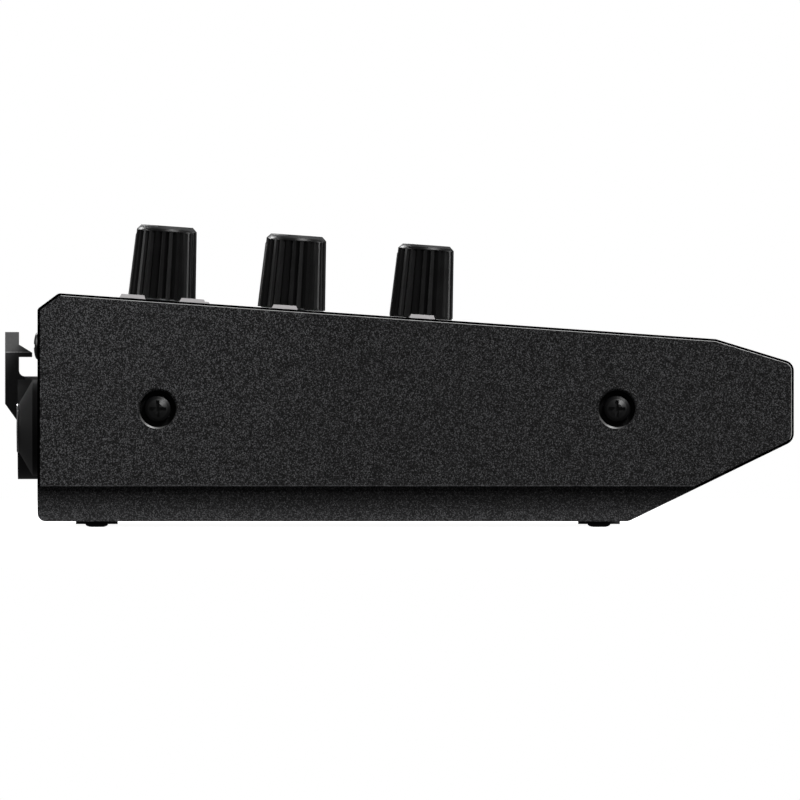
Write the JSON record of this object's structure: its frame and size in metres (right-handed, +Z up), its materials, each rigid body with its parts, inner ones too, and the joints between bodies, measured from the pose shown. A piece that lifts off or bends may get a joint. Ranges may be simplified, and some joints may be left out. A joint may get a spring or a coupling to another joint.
{
  "type": "dj mixer",
  "caption": "Compact two-channel rotary DJ mixer with wedge-shaped moulded cheeks, fluted knobs, trigger pads, a crossfader, rear sockets and a cord hook.",
  "frame": {"origin": "on the table, in the middle of the width and of the overall depth including the cord hook", "axes": "+X to the operator's right, +Y to the rear where the sockets are, +Z up"},
  "size_m": [0.26, 0.1758, 0.0679],
  "materials": {
    "cheek_plastic": "moulded, fine sand-like grain",
    "panel_paint": "fine matt powder coat",
    "circuit_board": "solder mask over glass laminate",
    "plain_steel": "bright plated",
    "pad_silicone": "smooth matt silicone",
    "black_plastic": "smooth satin moulding",
    "knob_plastic": "soft-touch satin",
    "lit_button": "milky translucent",
    "smoked_window": "smoked clear, polished",
    "light_bar": "moulded, diffuse",
    "gold_plate": "gold-plated",
    "foot_rubber": "matt, moulded",
    "black_steel": "black oxide, slightly glossy",
    "gloss_button": "polished black"
  },
  "bodies": {
    "chassis": {"left_cheek": "cheek_plastic", "right_cheek": "cheek_plastic", "top_plate": "panel_paint", "bottom_tray": "panel_paint", "rear_panel": "panel_paint", "control_board": "circuit_board", "main_board": "circuit_board", "board_spacers": "plain_steel", "pad_mats": "pad_silicone", "potentiometers": "plain_steel", "button_switches": "black_plastic", "fader_housing": "plain_steel", "fader_rails": "plain_steel", "meter_windows": "smoked_window", "meter_bars": "light_bar", "phono_sockets": "gold_plate", "jack_sockets": "black_plastic", "usb_socket": "plain_steel", "dc_socket": "black_plastic", "cord_hook": "black_plastic", "power_guard": "black_plastic", "power_switch": "black_plastic", "feet": "foot_rubber", "cheek_screws": "black_steel", "panel_screws": "black_steel"},
    "left_high_control": {"left_high_knob": "knob_plastic", "left_high_shaft": "plain_steel"},
    "left_mid_control": {"left_mid_knob": "knob_plastic", "left_mid_shaft": "plain_steel"},
    "left_low_control": {"left_low_knob": "knob_plastic", "left_low_shaft": "plain_steel"},
    "left_level_control": {"left_level_knob": "knob_plastic", "left_level_shaft": "plain_steel"},
    "left_filter_control": {"left_filter_knob": "knob_plastic", "left_filter_shaft": "plain_steel"},
    "master_control": {"master_knob": "knob_plastic", "master_shaft": "plain_steel"},
    "phones_control": {"phones_knob": "knob_plastic", "phones_shaft": "plain_steel"},
    "right_level_control": {"right_level_knob": "knob_plastic", "right_level_shaft": "plain_steel"},
    "right_filter_control": {"right_filter_knob": "knob_plastic", "right_filter_shaft": "plain_steel"},
    "right_high_control": {"right_high_knob": "knob_plastic", "right_high_shaft": "plain_steel"},
    "right_mid_control": {"right_mid_knob": "knob_plastic", "right_mid_shaft": "plain_steel"},
    "right_low_control": {"right_low_knob": "knob_plastic", "right_low_shaft": "plain_steel"},
    "left_cue_key": {"left_cue_button": "lit_button"},
    "left_effect_key": {"left_effect_button": "lit_button"},
    "left_source_key": {"left_source_button": "lit_button"},
    "left_shift_key": {"left_shift_button": "lit_button"},
    "right_cue_key": {"right_cue_button": "lit_button"},
    "right_effect_key": {"right_effect_button": "lit_button"},
    "right_source_key": {"right_source_button": "lit_button"},
    "right_shift_key": {"right_shift_button": "lit_button"},
    "power_key": {"power_button": "gloss_button"},
    "crossfader": {"fader_cap": "knob_plastic", "fader_carriage": "light_bar"}
  },
  "joints": [
    {"name": "left_high_turn", "type": "hinge", "parent": "chassis", "child": "left_high_control", "pos_m": [-0.0715, 0.05329, 0.05095], "axis": [0, -0.0698, 0.9976], "range_deg": [-150, 150]},
    {"name": "left_mid_turn", "type": "hinge", "parent": "chassis", "child": "left_mid_control", "pos_m": [-0.0715, 0.02407, 0.04891], "axis": [0, -0.0698, 0.9976], "range_deg": [-150, 150]},
    {"name": "left_low_turn", "type": "hinge", "parent": "chassis", "child": "left_low_control", "pos_m": [-0.0715, -0.00516, 0.04687], "axis": [0, -0.0698, 0.9976], "range_deg": [-150, 150]},
    {"name": "left_level_turn", "type": "hinge", "parent": "chassis", "child": "left_level_control", "pos_m": [-0.0429, 0.05329, 0.05095], "axis": [0, -0.0698, 0.9976], "range_deg": [-150, 150]},
    {"name": "left_filter_turn", "type": "hinge", "parent": "chassis", "child": "left_filter_control", "pos_m": [-0.0429, 0.02407, 0.04891], "axis": [0, -0.0698, 0.9976], "range_deg": [-150, 150]},
    {"name": "master_turn", "type": "hinge", "parent": "chassis", "child": "master_control", "pos_m": [0, 0.05329, 0.05095], "axis": [0, -0.0698, 0.9976], "range_deg": [-150, 150]},
    {"name": "phones_turn", "type": "hinge", "parent": "chassis", "child": "phones_control", "pos_m": [0, 0.02407, 0.04891], "axis": [0, -0.0698, 0.9976], "range_deg": [-150, 150]},
    {"name": "right_level_turn", "type": "hinge", "parent": "chassis", "child": "right_level_control", "pos_m": [0.0429, 0.05329, 0.05095], "axis": [0, -0.0698, 0.9976], "range_deg": [-150, 150]},
    {"name": "right_filter_turn", "type": "hinge", "parent": "chassis", "child": "right_filter_control", "pos_m": [0.0429, 0.02407, 0.04891], "axis": [0, -0.0698, 0.9976], "range_deg": [-150, 150]},
    {"name": "right_high_turn", "type": "hinge", "parent": "chassis", "child": "right_high_control", "pos_m": [0.0715, 0.05329, 0.05095], "axis": [0, -0.0698, 0.9976], "range_deg": [-150, 150]},
    {"name": "right_mid_turn", "type": "hinge", "parent": "chassis", "child": "right_mid_control", "pos_m": [0.0715, 0.02407, 0.04891], "axis": [0, -0.0698, 0.9976], "range_deg": [-150, 150]},
    {"name": "right_low_turn", "type": "hinge", "parent": "chassis", "child": "right_low_control", "pos_m": [0.0715, -0.00516, 0.04687], "axis": [0, -0.0698, 0.9976], "range_deg": [-150, 150]},
    {"name": "left_cue_press", "type": "slide", "parent": "chassis", "child": "left_cue_key", "axis": [0, 0.0698, -0.9976], "range_m": [0, 0.0008], "stiffness_N_per_m": 400, "springref_m": -0.0005},
    {"name": "left_effect_press", "type": "slide", "parent": "chassis", "child": "left_effect_key", "axis": [0, 0.0698, -0.9976], "range_m": [0, 0.0008], "stiffness_N_per_m": 400, "springref_m": -0.0005},
    {"name": "left_source_press", "type": "slide", "parent": "chassis", "child": "left_source_key", "axis": [0, 0.0698, -0.9976], "range_m": [0, 0.0008], "stiffness_N_per_m": 400, "springref_m": -0.0005},
    {"name": "left_shift_press", "type": "slide", "parent": "chassis", "child": "left_shift_key", "axis": [0, 0.0698, -0.9976], "range_m": [0, 0.0008], "stiffness_N_per_m": 400, "springref_m": -0.0005},
    {"name": "right_cue_press", "type": "slide", "parent": "chassis", "child": "right_cue_key", "axis": [0, 0.0698, -0.9976], "range_m": [0, 0.0008], "stiffness_N_per_m": 400, "springref_m": -0.0005},
    {"name": "right_effect_press", "type": "slide", "parent": "chassis", "child": "right_effect_key", "axis": [0, 0.0698, -0.9976], "range_m": [0, 0.0008], "stiffness_N_per_m": 400, "springref_m": -0.0005},
    {"name": "right_source_press", "type": "slide", "parent": "chassis", "child": "right_source_key", "axis": [0, 0.0698, -0.9976], "range_m": [0, 0.0008], "stiffness_N_per_m": 400, "springref_m": -0.0005},
    {"name": "right_shift_press", "type": "slide", "parent": "chassis", "child": "right_shift_key", "axis": [0, 0.0698, -0.9976], "range_m": [0, 0.0008], "stiffness_N_per_m": 400, "springref_m": -0.0005},
    {"name": "power_press", "type": "slide", "parent": "chassis", "child": "power_key", "axis": [0, -1, 0], "range_m": [0, 0.002], "stiffness_N_per_m": 500, "springref_m": -0.0005},
    {"name": "crossfader_slide", "type": "slide", "parent": "chassis", "child": "crossfader", "axis": [1, 0, 0], "range_m": [-0.0225, 0.0225]}
  ]
}
